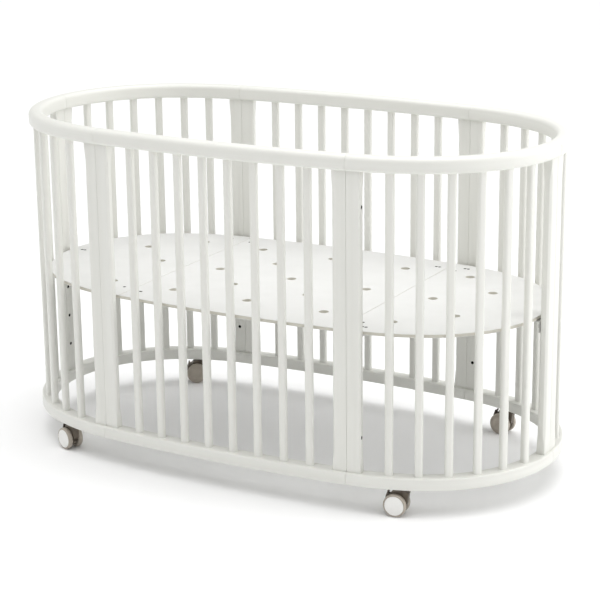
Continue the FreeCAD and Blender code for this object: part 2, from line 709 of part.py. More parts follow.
def build_posts():
    # Corner posts: the base's inserts are in the end section's half.
    bolts, sleeves = [], []
    for name, move in QUADRANTS.items():
        head_side = -1 if name in BOLTS_FROM_SIDE else 1
        cuts = {head_side: bolt_holes(head_side), -head_side: insert_seats(head_side)}
        side_half = half_with(-1, cuts[-1], CORNER_SEAM)
        end_half = half_with(1, cuts[1] + setting_insert_seats(1), CORNER_SEAM)
        save("post_" + name, [move(side_half), move(end_half)])
        bolts += [move(placed(bolt, CORNER_SEAM)) for bolt in section_bolts(head_side)]
        sleeves += [move(placed(sleeve, CORNER_SEAM)) for sleeve in joint_inserts(head_side)]

    # End posts: the bolt heads are in the back section's half, and both halves carry inserts.
    back_half = half_with(-1, bolt_holes(-1) + setting_insert_seats(-1), END_SEAM)
    front_half = half_with(1, insert_seats(-1) + setting_insert_seats(1), END_SEAM)
    save("post_right_end", [back_half, front_half])
    save("post_left_end", [mirror_x(back_half), mirror_x(front_half)])

    save("section_bolts", bolts + at_both_ends(section_bolts(-1)))
    save("section_inserts", sleeves + at_both_ends(joint_inserts(-1)))
    save("base_inserts", at_corners(setting_inserts(1))
         + at_both_ends(setting_inserts(1) + setting_inserts(-1)))
    save("base_pins", at_corners([base_pin(1)]) + at_both_ends([base_pin(1), base_pin(-1)]))


def build_base():
    screws = [base_screw(x, y) for x, y in base_screw_points()]
    dowels = base_dowels()
    for name, panel in base_panels(screws, dowels).items():
        save("base_panel_" + name, [panel])
    end = end_bracket()
    brackets = all_quadrants([corner_bracket()]) + [end, mirror_x(end)]
    save("base_brackets", [cut_all(bracket, screws) for bracket in brackets])
    save("base_screws", screws)
    save("base_dowels", dowels)


def build_casters():
    y = caster_centerline_y()
    sockets, stems = [], []
    for name, (sx, sy, swivel, cap_side) in CASTERS.items():
        place = Placement(Vector(sx * CASTER_X, sy * y, 0), Rotation(UP, swivel))
        sockets.append(placed(caster_socket(), place))
        stems.append(placed(caster_stem(), place))
        save("caster_hood_" + name, [placed(caster_hood(), place)])
        save("caster_axle_" + name, [placed(axle(), place)])
        save("brake_lever_" + name, [placed(brake_lever(), place)])
        save("outer_wheel_" + name, [placed(wheel(cap_side, True), place)])
        save("inner_wheel_" + name, [placed(wheel(-cap_side, False), place)])
        save("wheel_cap_" + name, [placed(wheel_cap(cap_side), place)])
    save("caster_sockets", sockets)
    save("caster_stems", stems)


def main():
    os.makedirs("parts", exist_ok=True)
    build_frame()
    build_posts()
    build_base()
    build_casters()


main()
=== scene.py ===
import math

import bmesh
import bpy
from mathutils import Matrix, Vector


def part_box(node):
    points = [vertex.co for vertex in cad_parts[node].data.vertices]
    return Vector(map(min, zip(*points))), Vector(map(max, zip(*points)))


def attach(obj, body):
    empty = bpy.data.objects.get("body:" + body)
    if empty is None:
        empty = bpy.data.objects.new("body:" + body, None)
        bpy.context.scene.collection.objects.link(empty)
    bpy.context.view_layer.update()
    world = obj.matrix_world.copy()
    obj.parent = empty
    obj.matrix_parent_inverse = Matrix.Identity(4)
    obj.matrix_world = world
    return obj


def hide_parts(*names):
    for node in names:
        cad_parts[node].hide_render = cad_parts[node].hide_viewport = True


# Oval crib on four braked casters.  Metres, +Z up, +X along the crib, "front" is -Y.
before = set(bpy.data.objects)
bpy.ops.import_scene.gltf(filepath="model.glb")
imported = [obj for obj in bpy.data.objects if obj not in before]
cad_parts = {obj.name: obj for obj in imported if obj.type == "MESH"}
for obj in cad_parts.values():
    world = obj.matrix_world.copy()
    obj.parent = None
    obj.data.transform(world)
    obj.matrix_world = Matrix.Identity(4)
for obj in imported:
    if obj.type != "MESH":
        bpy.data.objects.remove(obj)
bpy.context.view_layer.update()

MM = 0.001

# ------------------------------------------------------------ plan of the rails' centreline
SEAM_X = 330 * MM
SEAM_Y = 331 * MM
SIDE_BOW = 15 * MM
END_X = 677.5 * MM
SHOULDER_RADIUS = 500 * MM

# ------------------------------------------------------------ heights, read off the frame
RAIL_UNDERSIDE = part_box("bottom_rail_front")[0].z
POST_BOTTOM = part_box("bottom_rail_front")[1].z
POST_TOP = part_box("top_rail_front")[0].z
RAIL_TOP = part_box("top_rail_front")[1].z
BASE_BOTTOM, BASE_TOP = (corner.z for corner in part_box("base_panel_center"))

# ------------------------------------------------------------ woodwork
TOP_RAIL_HALF_WIDTH = 17.5 * MM
BOTTOM_RAIL_HALF_WIDTH = 18 * MM
TOP_RAIL_ROUNDS = (14 * MM, 11 * MM, 6 * MM, 9 * MM)   # outer top, inner top, inner and outer bottom
BOTTOM_RAIL_ROUNDS = (4 * MM, 4 * MM, 3 * MM, 3 * MM)
SEAM_ROUND = 0.7 * MM
RAIL_GAP = 0.15 * MM       # each rail end's distance from the seam
SLATS_PER_SIDE = 8
SLATS_PER_END = 6
FIRST_SLAT_RATIO = 1.42
SLAT_WIDTH = 19 * MM
SLAT_DEPTH = 16 * MM
SLAT_ROUND = 6 * MM
SUNK = 1.5 * MM            # how far slats and posts run on into the rails
FOOT_RINGS = ((0.0, 0.7 * MM), (0.6 * MM, 0.35 * MM), (1.5 * MM, 0.1 * MM), (3.0 * MM, 0.0))
HALF_POST_WIDTH = 34 * MM
POST_DEPTH = 20 * MM
POST_GAP = 0.15 * MM       # each half's distance from the seam
POST_ROUND = 1.3 * MM
POST_BEVEL = 5 * MM
BEVEL_STOP = 12 * MM
BEVEL_RUNOUT = 35 * MM
BOLT_HEIGHTS = (84 * MM, 618 * MM)
COUNTERBORE_RADIUS = 4.6 * MM
COUNTERBORE_DEPTH = 6 * MM
BOLTS_FROM_SIDE = ("back_right",)
INSERT_RADIUS = 4.05 * MM
INSERT_DEPTH = 14 * MM
RAIL_GRAIN_STEP = 1.7       # how far along the grain each new piece is cut from
TOP_RAIL_GRAIN = 5.3
SLAT_GRAIN_STEP = 2.3
POST_GRAIN_STEP = 3.1
TOP_PIN_DROP = 15 * MM      # below the mattress base, with the other pins below it in steps
PIN_STEP = 78 * MM
PIN_HEIGHTS = tuple(BASE_BOTTOM - TOP_PIN_DROP - step * PIN_STEP for step in range(4))
RAIL_FLAT = 12 * MM         # length of one flat along a rail's curve
POST_SOFTENING = 0.45 * MM

# ------------------------------------------------------------ mattress base
BASE_INSET = 18 * MM
BASE_SEAM_X = 297 * MM
BASE_ROUND = 2 * MM
PANEL_GAP = 1 * MM
PANEL_ROUND = 0.8 * MM
VENT_RADIUS = 11.5 * MM
VENT_ROUND = 1 * MM
VENT_ROW = 107 * MM
VENT_COLUMNS = ((0, (-2, 0, 2)), (103, (-1, 1)), (206, (-2, 0, 2)), (383, (-2, 0, 2)), (490, (-1, 1)))
BASE_FLAT = 14 * MM         # length of one flat along the base's edge
CORNER_PAIRS = ((344.5 * MM, 279 * MM), (272 * MM, 265 * MM))
CORNER_SINGLE = (326 * MM, 249 * MM)
END_PAIR_X = 625 * MM
HALF_SCREW_PAIR = 4.5 * MM
SCREW_HEAD_RADIUS = 4 * MM
SCREW_RADIUS = 1.9 * MM
SCREW_HEAD = 2.4 * MM
SCREW_BELOW_FACE = 0.1 * MM
COUNTERSINK_ROOM = 0.7 * MM
COUNTERSINK_RISE = 0.3 * MM
SCREW_CROSS = (3.6 * MM, 0.8 * MM, 1.6 * MM)
SCREW_SHANK_BELOW = 3 * MM
SCREW_TURN = 0.9           # radians from one screw's cross to the next

# ------------------------------------------------------------ casters, in their own frame
WHEEL_RADIUS = 27 * MM
WHEEL_TRAIL = 18 * MM
WHEEL_INNER_Y = 8.5 * MM
WHEEL_WIDTH = 12.5 * MM
WHEEL_ROUND = 3.5 * MM
CAP_RADIUS = 22.8 * MM
CAP_RECESS = 2.5 * MM
CAP_ROOM = 0.25 * MM
CAP_PROUD = 0.5 * MM
CAP_ROUND = 1.3 * MM
CAP_DOME = ((2.4 * MM, 0.22 * MM), (5.0 * MM, 0.16 * MM), (6.0 * MM, 0.09 * MM))
TREAD_EDGE = 5.5 * MM
WHEEL_SOFTENING = 0.3 * MM
FACE_LIP = WHEEL_RADIUS - WHEEL_ROUND - CAP_RADIUS
CAP_SEAT_STEPS = ((FACE_LIP - CAP_ROOM, -CAP_RECESS),)
PLAIN_FACE_STEPS = ((FACE_LIP, -0.9 * MM), (1.2 * MM, 0.6 * MM), (12 * MM, -0.5 * MM))
INNER_FACE_STEPS = ((2 * MM, 0.8 * MM), (12 * MM, -0.4 * MM))
AXLE_RADIUS = 3 * MM
AXLE_BORE_END = 18 * MM
HOOD_HALF_WIDTH = 7 * MM
HOOD_PROFILE = ((-9.0, 30.0), (-11.5, 50.0), (-13.0, 58.0), (-9.5, 57.0), (-5.0, 61.0),
                (25.5, 61.0), (29.2, 52.0), (29.2, 38.0))
HOOD_TOP_ROUND = 3 * MM
HOOD_FRONT_ROUND = 2.5 * MM
HOOD_BACK_ROUND = 0.9 * MM
HOOD_SOFTENING = 0.7 * MM
SHROUD_RADIUS = 20 * MM
BOSS_RADIUS = 7.5 * MM
BOSS_BOTTOM = 30 * MM
BOSS_TOP = 62 * MM
LEVER_PIVOT = (34 * MM, 46 * MM)
LEVER_HALF_WIDTH = 7 * MM
LEVER_PLATE = ((35.2, 56.5), (39.2, 46.0), (41.4, 31.0), (43.9, 31.4), (41.8, 46.3), (37.6, 57.2))
LEVER_LIP = (36.6 * MM, 56.6 * MM)
LEVER_LIP_RADIUS = 1.9 * MM
LEVER_SOFTENING = 0.5 * MM
SADDLE_RADIUS = 7 * MM
SADDLE_ABOVE_LIP = 7.2 * MM
SADDLE_X = (30 * MM, 45 * MM)
ARM_ROOT_X = 27.0           # millimetres, like the outlines
LINK_END_X = (39.8, 40.8)   # at the cheek's top and bottom
KNUCKLE_RADIUS = 4 * MM
KNUCKLE_HALF_WIDTH = 4 * MM
CHEEK_WIDTH = 2.5 * MM
STEM_BORE_RADIUS = 4.55 * MM
STEM_BORE_FROM = 37.5 * MM
PIN_RADIUS = 2 * MM
RUNNING_GAP = 0.05 * MM
CASTER_X = 458 * MM
CASTERS = {"front_left": (159, 1), "front_right": (188, 1),
           "back_left": (218, -1), "back_right": (173, -1)}


# ============================================================ plan curve
class PlanArc:
    """An arc in plan; its angles are of the outward normal, clockwise from +Y."""

    def __init__(self, center, radius, start, end):
        self.center = center
        self.radius = radius
        self.start = start
        self.end = end
        self.length = radius * (end - start)

    def point(self, angle, offset=0.0, z=0.0):
        reach = self.radius + offset
        return Vector((self.center[0] + reach * math.sin(angle),
                       self.center[1] + reach * math.cos(angle), z))


def plan_arcs():
    side_radius = (SEAM_X ** 2 + SIDE_BOW ** 2) / (2 * SIDE_BOW)
    seam = math.asin(SEAM_X / side_radius)
    side = PlanArc((0.0, SEAM_Y + SIDE_BOW - side_radius), side_radius, -seam, seam)
    shoulder = (SEAM_X - SHOULDER_RADIUS * math.sin(seam),
                SEAM_Y - SHOULDER_RADIUS * math.cos(seam))
    reach = END_X - shoulder[0]
    nose_radius = ((SHOULDER_RADIUS ** 2 - reach ** 2 - shoulder[1] ** 2)
                   / (2 * (SHOULDER_RADIUS - reach)))
    nose = (END_X - nose_radius, 0.0)
    blend = math.atan2(nose[0] - shoulder[0], nose[1] - shoulder[1])
    return [side], [PlanArc(shoulder, SHOULDER_RADIUS, seam, blend),
                    PlanArc(nose, nose_radius, blend, math.pi / 2)]


SIDE_PATH, END_PATH = plan_arcs()


def place_at(arc, angle):
    """Local X runs along the rail and local Y points out of the crib."""
    return Matrix.Translation(arc.point(angle)) @ Matrix.Rotation(-angle, 4, "Z")


def place_along(path, distance):
    for arc in path:
        if distance <= arc.length or arc is path[-1]:
            return place_at(arc, arc.start + distance / arc.radius)
        distance -= arc.length


CORNER_SEAM = place_at(END_PATH[0], END_PATH[0].start)
END_SEAM = place_at(END_PATH[1], END_PATH[1].end)
CASTER_Y = (END_PATH[0].center[1]
            + math.sqrt(SHOULDER_RADIUS ** 2 - (CASTER_X - END_PATH[0].center[0]) ** 2))
MIRRORS = {"back_right": (1, 1), "back_left": (-1, 1), "front_right": (1, -1), "front_left": (-1, -1)}


# ============================================================ workshop habits
def deselect_all():
    bpy.ops.object.select_all(action="DESELECT")


def take_up(piece):
    deselect_all()
    piece.select_set(True)
    bpy.context.view_layer.objects.active = piece


def edit(piece):
    take_up(piece)
    bpy.ops.object.mode_set(mode="EDIT")


def done():
    bpy.ops.object.mode_set(mode="OBJECT")


def choose(kind, test):
    """In edit mode, select the verts, edges or faces that pass a test."""
    bpy.ops.mesh.select_mode(type={"verts": "VERT", "edges": "EDGE", "faces": "FACE"}[kind])
    bpy.ops.mesh.select_all(action="DESELECT")
    mesh = bpy.context.object.data
    shape = bmesh.from_edit_mesh(mesh)
    for part in getattr(shape, kind):
        if test(part):
            part.select_set(True)
    bmesh.update_edit_mesh(mesh)


def everything():
    bpy.ops.mesh.select_all(action="SELECT")


def middle(part):
    corners = part.verts
    return sum((corner.co for corner in corners), Vector()) / len(corners)


def near(a, b, slack=0.02 * MM):
    return abs(a - b) < slack


def is_upright(edge):
    a, b = (corner.co for corner in edge.verts)
    return near(a.x, b.x) and near(a.y, b.y)


def apply_place(piece):
    take_up(piece)
    bpy.ops.object.transform_apply(location=True, rotation=True, scale=True)


def new_block(name, size, center):
    deselect_all()
    bpy.ops.mesh.primitive_cube_add(size=1, location=center)
    piece = bpy.context.object
    piece.name = name
    piece.scale = size
    apply_place(piece)
    return piece


def new_rod(name, radius, start, end, sides=32, tip=None):
    """A cylinder between two points, or a cone where the tip's radius differs."""
    start, end = Vector(start), Vector(end)
    axis = end - start
    turn = axis.to_track_quat("Z", "Y").to_euler()
    deselect_all()
    bpy.ops.mesh.primitive_cone_add(vertices=sides, radius1=radius,
                                    radius2=radius if tip is None else tip, depth=axis.length,
                                    location=(start + end) / 2, rotation=turn)
    piece = bpy.context.object
    piece.name = name
    apply_place(piece)
    return piece


def new_outline(name, points, thickness, y_low):
    """A plate with a given outline in XZ, as thick as said along Y."""
    deselect_all()
    bpy.ops.mesh.primitive_circle_add(vertices=len(points), radius=MM, fill_type="NGON",
                                      location=(points[0][0], y_low, points[0][1]))
    piece = bpy.context.object
    piece.name = name
    apply_place(piece)
    for corner, (x, z) in zip(piece.data.vertices, points):
        corner.co = (x, y_low, z)
    edit(piece)
    everything()
    bpy.ops.mesh.extrude_region_move(TRANSFORM_OT_translate={"value": (0, thickness, 0)})
    everything()
    bpy.ops.mesh.normals_make_consistent(inside=False)
    done()
    return piece


def face_outwards(piece):
    edit(piece)
    everything()
    bpy.ops.mesh.remove_doubles(threshold=0.001 * MM)
    bpy.ops.mesh.normals_make_consistent(inside=False)
    done()


def use_modifier(piece, kind, **settings):
    take_up(piece)
    modifier = piece.modifiers.new(kind.title(), kind)
    for key, value in settings.items():
        setattr(modifier, key, value)
    bpy.ops.object.modifier_apply(modifier=modifier.name)


def combine(piece, other, operation):
    use_modifier(piece, "BOOLEAN", object=other, operation=operation, solver="EXACT")
    bpy.data.objects.remove(other)


def drill(piece, bits):
    """Cut a list of loose bodies out of a piece in one pass."""
    bit = join(bits, "bit")
    combine(piece, bit, "DIFFERENCE")


def soften(piece, width, segments=2, degrees=30):
    use_modifier(piece, "BEVEL", width=width, segments=segments, limit_method="ANGLE",
                 angle_limit=math.radians(degrees), harden_normals=False, use_clamp_overlap=True)


def smooth(piece, degrees=40):
    take_up(piece)
    bpy.ops.object.shade_smooth_by_angle(angle=math.radians(degrees))


def weigh_normals(piece):
    use_modifier(piece, "WEIGHTED_NORMAL", keep_sharp=True, weight=80)


def join(pieces, name):
    deselect_all()
    for piece in pieces:
        piece.select_set(True)
    bpy.context.view_layer.objects.active = pieces[0]
    if len(pieces) > 1:
        bpy.ops.object.join()
    joined = bpy.context.object
    joined.name = name
    return joined


def copy_of(piece, name, place=None, mirror=(1, 1)):
    """A copy with its own mesh, placed and then mirrored in plan."""
    take_up(piece)
    bpy.ops.object.duplicate(linked=False)
    twin = bpy.context.object
    twin.name = name
    flip = Matrix.Diagonal((mirror[0], mirror[1], 1, 1))
    twin.matrix_world = flip @ (place or Matrix.Identity(4))
    apply_place(twin)
    if mirror[0] * mirror[1] < 0:
        edit(twin)
        everything()
        bpy.ops.mesh.normals_make_consistent(inside=False)
        done()
    return twin


def bin_it(*pieces):
    for piece in pieces:
        bpy.data.objects.remove(piece)


def fit(piece, body, slot, *nodes):
    """The finished piece rides on its body and stands for its CAD nodes."""
    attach(piece, body)
    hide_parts(*nodes)


# ============================================================ grain
def lay_grain(piece, run):
    """Store, at each corner, where it lies along and across the wood's fibres."""
    layer = piece.data.attributes.new("grain", "FLOAT_VECTOR", "POINT")
    for index, corner in enumerate(piece.data.vertices):
        layer.data[index].vector = run(corner.co)


def shift_grain(piece, amount):
    layer = piece.data.attributes["grain"]
    for value in layer.data:
        value.vector = Vector(value.vector) + Vector((amount, 0.37 * amount, 0.61 * amount))


def rail_run(path):
    def run(point):
        walked = 0.0
        for arc in path:
            angle = math.atan2(point.x - arc.center[0], point.y - arc.center[1])
            if angle <= arc.end or arc is path[-1]:
                reach = math.hypot(point.x - arc.center[0], point.y - arc.center[1])
                return (walked + arc.radius * (angle - arc.start), reach - arc.radius, point.z)
            walked += arc.length
    return run


def upright_run(point):
    return (point.z, point.x, point.y)


# ============================================================ rails
def make_rail(name, path, half_width, low, high, rounds):
    first = path[0]
    begin = first.start + RAIL_GAP / first.radius
    deselect_all()
    bpy.ops.mesh.primitive_plane_add(size=1, location=first.point(begin, 0.0, (low + high) / 2),
                                     rotation=(math.pi / 2, 0, math.pi / 2 - begin))
    piece = bpy.context.object
    piece.name = name
    piece.scale = (2 * half_width, high - low, 1)
    apply_place(piece)
    edit(piece)
    corners = [(1, high), (-1, high), (-1, low), (1, low)]
    for (side, z), radius in zip(corners, rounds):
        spot = first.point(begin, side * half_width, z)
        choose("verts", lambda v: (v.co - spot).length < 0.05 * MM)
        bpy.ops.mesh.bevel(offset=radius, offset_type="OFFSET", segments=8, affect="VERTICES")
    everything()
    for arc in path:
        from_angle = begin if arc is first else arc.start
        to_angle = arc.end - RAIL_GAP / arc.radius if arc is path[-1] else arc.end
        steps = max(8, round(arc.length / RAIL_FLAT))
        bpy.ops.mesh.spin(steps=steps, angle=to_angle - from_angle, axis=(0, 0, 1),
                          center=(arc.center[0], arc.center[1], 0))
    done()
    face_outwards(piece)
    edit(piece)
    choose("faces", lambda f: len(f.verts) > 4)
    bpy.ops.mesh.region_to_loop()
    bpy.ops.mesh.bevel(offset=SEAM_ROUND, segments=3, affect="EDGES")
    done()
    lay_grain(piece, rail_run(path))
    smooth(piece, 35)
    return piece


def make_rails(finish):
    levels = {"top": (TOP_RAIL_HALF_WIDTH, POST_TOP, RAIL_TOP, TOP_RAIL_ROUNDS),
              "bottom": (BOTTOM_RAIL_HALF_WIDTH, RAIL_UNDERSIDE, POST_BOTTOM, BOTTOM_RAIL_ROUNDS)}
    for level, sizes in levels.items():
        side = make_rail("side_rail", SIDE_PATH, *sizes)
        end = make_rail("end_rail", END_PATH, *sizes)
        copies = [(side, "back", (1, 1)), (side, "front", (1, -1))]
        copies += [(end, place, mirror) for place, mirror in MIRRORS.items()]
        for index, (model, place, mirror) in enumerate(copies):
            piece = copy_of(model, f"{level}_rail_{place}_shaped", mirror=mirror)
            shift_grain(piece, RAIL_GRAIN_STEP * index + (TOP_RAIL_GRAIN if level == "top" else 0.0))
            piece.data.materials.append(finish)
            fit(piece, "frame", "white_lacquer", f"{level}_rail_{place}")
        bin_it(side, end)


# ============================================================ slats
SLAT_ENDS = ((POST_BOTTOM, 1), (POST_TOP, -1))    # each end's height, and the way in from it


def make_slat():
    """A rounded stick whose ends widen into small soft feet at the rails."""
    height = POST_TOP - POST_BOTTOM
    piece = new_block("slat", (SLAT_WIDTH, SLAT_DEPTH, height + 2 * SUNK),
                      (0, 0, POST_BOTTOM + height / 2))
    edit(piece)
    choose("edges", is_upright)
    bpy.ops.mesh.bevel(offset=SLAT_ROUND, segments=5, affect="EDGES")
    for end, inward in SLAT_ENDS:
        for distance in [ring[0] for ring in FOOT_RINGS]:
            everything()
            bpy.ops.mesh.bisect(plane_co=(0, 0, end + inward * distance), plane_no=(0, 0, 1))
    for end, inward in SLAT_ENDS:
        for distance, widening in FOOT_RINGS[:-1]:
            beyond = end - inward * SUNK
            level = end + inward * distance
            choose("verts", lambda v: near(v.co.z, level) or (distance == 0 and near(v.co.z, beyond)))
            bpy.ops.transform.resize(value=(1 + 2 * widening / SLAT_WIDTH,
                                            1 + 2 * widening / SLAT_DEPTH, 1),
                                     center_override=(0, 0, level))
    done()
    lay_grain(piece, upright_run)
    smooth(piece, 35)
    return piece


def slat_places(path, count):
    length = sum(arc.length for arc in path)
    pitch = length / (count - 1 + 2 * FIRST_SLAT_RATIO)
    return [place_along(path, (FIRST_SLAT_RATIO + index) * pitch) for index in range(count)]


def make_slats(finish):
    model = make_slat()
    groups = [("back", SIDE_PATH, SLATS_PER_SIDE, (1, 1)), ("front", SIDE_PATH, SLATS_PER_SIDE, (1, -1))]
    groups += [(place, END_PATH, SLATS_PER_END, mirror) for place, mirror in MIRRORS.items()]
    count = 0
    for place, path, number, mirror in groups:
        row = []
        for seat in slat_places(path, number):
            count += 1
            slat = copy_of(model, "slat_copy", seat, mirror)
            shift_grain(slat, SLAT_GRAIN_STEP * count)
            row.append(slat)
        piece = join(row, f"slats_{place}_shaped")
        piece.data.materials.append(finish)
        fit(piece, "frame", "white_lacquer", f"slats_{place}")
    bin_it(model)


# ============================================================ posts
def make_half_post(side, bolt_side, settings):
    """Half a double post beside its seam; side is +1 or -1 along the rail."""
    height = POST_TOP - POST_BOTTOM
    width = HALF_POST_WIDTH - POST_GAP
    half = POST_DEPTH / 2
    free_x = side * HALF_POST_WIDTH
    piece = new_block("half_post", (width, POST_DEPTH, height + 2 * SUNK),
                      (side * (POST_GAP + width / 2), 0, POST_BOTTOM + height / 2))
    edit(piece)
    choose("edges", lambda e: is_upright(e) and near(middle(e).x, side * POST_GAP))
    bpy.ops.mesh.bevel(offset=POST_ROUND, segments=4, affect="EDGES")
    stops = (POST_BOTTOM + BEVEL_STOP, POST_TOP - BEVEL_STOP)
    fulls = (stops[0] + BEVEL_RUNOUT, stops[1] - BEVEL_RUNOUT)
    for z in stops + fulls:
        everything()
        bpy.ops.mesh.bisect(plane_co=(0, 0, z), plane_no=(0, 0, 1))
    everything()
    bpy.ops.mesh.bisect(plane_co=(free_x - side * POST_BEVEL, 0, 0), plane_no=(1, 0, 0))
    for y in (half - POST_BEVEL, POST_BEVEL - half):
        everything()
        bpy.ops.mesh.bisect(plane_co=(0, y, 0), plane_no=(0, 1, 0))
    for face in (1, -1):
        y = face * half
        choose("verts", lambda v: near(v.co.x, free_x) and near(v.co.y, y)
               and fulls[0] - MM < v.co.z < fulls[1] + MM)
        bpy.ops.transform.translate(value=(-side * POST_BEVEL / 2, -face * POST_BEVEL / 2, 0))
        for stop, full in zip(stops, fulls):
            apex = Vector((free_x, y, stop))
            for target in (Vector((free_x - side * POST_BEVEL, y, full)),
                           Vector((free_x, y - face * POST_BEVEL, full))):
                choose("verts", lambda v: (v.co - apex).length < 0.05 * MM
                       or (v.co - target).length < 0.05 * MM)
                bpy.ops.mesh.vert_connect()
    done()
    bits = []
    if bolt_side:
        for height_up in BOLT_HEIGHTS:
            z = POST_BOTTOM + height_up
            bits.append(new_rod("bit", COUNTERBORE_RADIUS, (free_x - side * COUNTERBORE_DEPTH, 0, z),
                                (free_x + side * MM, 0, z)))
    if settings:
        for z in PIN_HEIGHTS:
            x = side * HALF_POST_WIDTH / 2
            bits.append(new_rod("bit", INSERT_RADIUS, (x, -half - MM, z), (x, -half + INSERT_DEPTH, z)))
    if bits:
        drill(piece, bits)
    soften(piece, POST_SOFTENING, 2, 25)
    lay_grain(piece, upright_run)
    smooth(piece, 30)
    return piece


def make_posts(finish):
    side_half = make_half_post(-1, False, False)
    side_half_bolted = make_half_post(-1, True, False)
    end_half = make_half_post(1, True, True)
    back_half = make_half_post(-1, True, True)
    front_half = make_half_post(1, False, True)
    posts = []
    for place, mirror in MIRRORS.items():
        halves = (side_half_bolted, front_half) if place in BOLTS_FROM_SIDE else (side_half, end_half)
        posts.append((place, halves, CORNER_SEAM, mirror))
    posts += [("right_end", (back_half, front_half), END_SEAM, (1, 1)),
              ("left_end", (back_half, front_half), END_SEAM, (-1, 1))]
    count = 0
    for place, halves, seam, mirror in posts:
        pair = []
        for half in halves:
            count += 1
            twin = copy_of(half, "half_copy", seam, mirror)
            shift_grain(twin, POST_GRAIN_STEP * count)
            pair.append(twin)
        piece = join(pair, f"post_{place}_shaped")
        piece.data.materials.append(finish)
        fit(piece, "frame", "white_lacquer", f"post_{place}")
    bin_it(side_half, side_half_bolted, end_half, back_half, front_half)


# ============================================================ mattress base
def base_walk():
    """The whole outline's arcs in order, as (centre, angle) from the back left seam clockwise."""
    side, (shoulder, nose) = SIDE_PATH[0], END_PATH
    quarter = [shoulder, nose]
    back = quarter[::-1]
    walk = [(side, 1, 1)] + [(arc, 1, 1) for arc in quarter] + [(arc, 1, -1) for arc in back]
    walk += [(side, 1, -1)] + [(arc, -1, -1) for arc in quarter] + [(arc, -1, 1) for arc in back]
    return [((arc.center[0] * fx, arc.center[1] * fy, 0), arc.end - arc.start, arc.length)
            for arc, fx, fy in walk]


def make_slab():
    side = SIDE_PATH[0]
    deselect_all()
    bpy.ops.mesh.primitive_plane_add(size=1, location=side.point(side.start, -BASE_INSET,
                                                                 (BASE_BOTTOM + BASE_TOP) / 2),
                                     rotation=(math.pi / 2, 0, math.pi / 2 - side.start))
    piece = bpy.context.object
    piece.name = "slab"
    piece.scale = (2 * MM, BASE_TOP - BASE_BOTTOM, 1)
    apply_place(piece)
    edit(piece)
    reach = side.radius - BASE_INSET
    center = Vector((side.center[0], side.center[1], 0))
    choose("verts", lambda v: (v.co.xy - center.xy).length < reach)
    bpy.ops.mesh.delete(type="VERT")
    everything()
    bpy.ops.transform.translate(value=-MM * Vector((math.sin(side.start), math.cos(side.start), 0)))
    for spot, angle, length in base_walk():
        bpy.ops.mesh.spin(steps=max(6, round(length / BASE_FLAT)), angle=angle,
                          axis=(0, 0, 1), center=spot)
    everything()
    bpy.ops.mesh.remove_doubles(threshold=0.05 * MM)
    for z in (BASE_BOTTOM, BASE_TOP):
        choose("edges", lambda e: all(near(v.co.z, z) for v in e.verts))
        bpy.ops.mesh.edge_face_add()
    everything()
    bpy.ops.mesh.normals_make_consistent(inside=False)
    choose("edges", lambda e: near(e.verts[0].co.z, e.verts[1].co.z))
    bpy.ops.mesh.bevel(offset=BASE_ROUND, segments=4, affect="EDGES")
    done()
    return piece


def screw_points():
    corner = [(x + shift, y) for x, y in CORNER_PAIRS for shift in (-HALF_SCREW_PAIR, HALF_SCREW_PAIR)]
    corner.append(CORNER_SINGLE)
    end = [(END_PAIR_X + shift, 0) for shift in (-HALF_SCREW_PAIR, HALF_SCREW_PAIR)]
    points = [(sx * x, sy * y) for x, y in corner for sx in (1, -1) for sy in (1, -1)]
    return points + [(sx * x, y) for x, y in end for sx in (1, -1)]


def vent_points():
    return [(sign * x * MM, row * VENT_ROW) for x, rows in VENT_COLUMNS for row in rows
            for sign in ((1, -1) if x else (1,))]


def make_panels(face, edge):
    slab = make_slab()
    inner = BASE_SEAM_X - PANEL_GAP / 2
    outer = BASE_SEAM_X + PANEL_GAP / 2
    spans = {"left": (-END_X, -outer), "center": (-inner, inner), "right": (outer, END_X)}
    for name, (low, high) in spans.items():
        panel = copy_of(slab, "panel")
        edit(panel)
        for x, side in ((low, -1), (high, 1)):
            if abs(x) < END_X:
                everything()
                bpy.ops.mesh.bisect(plane_co=(x, 0, 0), plane_no=(side, 0, 0),
                                    use_fill=True, clear_outer=True)
                choose("edges", lambda e: all(near(v.co.x, x) for v in e.verts)
                       and near(e.verts[0].co.z, e.verts[1].co.z)
                       and abs(e.verts[0].co.y - e.verts[1].co.y) > 5 * MM)
                bpy.ops.mesh.bevel(offset=PANEL_ROUND, segments=2, affect="EDGES")
        done()
        vents = [(x, y) for x, y in vent_points() if low < x < high]
        drill(panel, [new_rod("bit", VENT_RADIUS, (x, y, BASE_BOTTOM - MM), (x, y, BASE_TOP + MM), 48)
                      for x, y in vents])
        edit(panel)

        def on_vent_rim(e):
            spot = middle(e)
            flat = near(e.verts[0].co.z, e.verts[1].co.z)
            return flat and any(math.hypot(spot.x - x, spot.y - y) < VENT_RADIUS + 0.1 * MM
                                for x, y in vents)

        choose("edges", on_vent_rim)
        bpy.ops.mesh.bevel(offset=VENT_ROUND, segments=3, affect="EDGES")
        done()
        sinks = [(x, y) for x, y in screw_points() if low < x < high]
        drill(panel, [new_rod("bit", SCREW_RADIUS, (x, y, BASE_TOP - SCREW_HEAD - SCREW_BELOW_FACE),
                              (x, y, BASE_TOP + COUNTERSINK_RISE), 24,
                              tip=SCREW_HEAD_RADIUS + COUNTERSINK_ROOM)
                      for x, y in sinks])
        piece = join([panel], f"base_panel_{name}_shaped")
        piece.data.materials.append(face)
        piece.data.materials.append(edge)
        # Sideways faces (cut edges, seam bevels, vent walls) take the edge material, whose darker colour
        # is painted shade.
        for side in piece.data.polygons:
            side.material_index = 1 if abs(side.normal.z) < 0.55 else 0
        smooth(piece, 30)
        weigh_normals(piece)
        fit(piece, "mattress_base", "base_board", f"base_panel_{name}")
    bin_it(slab)


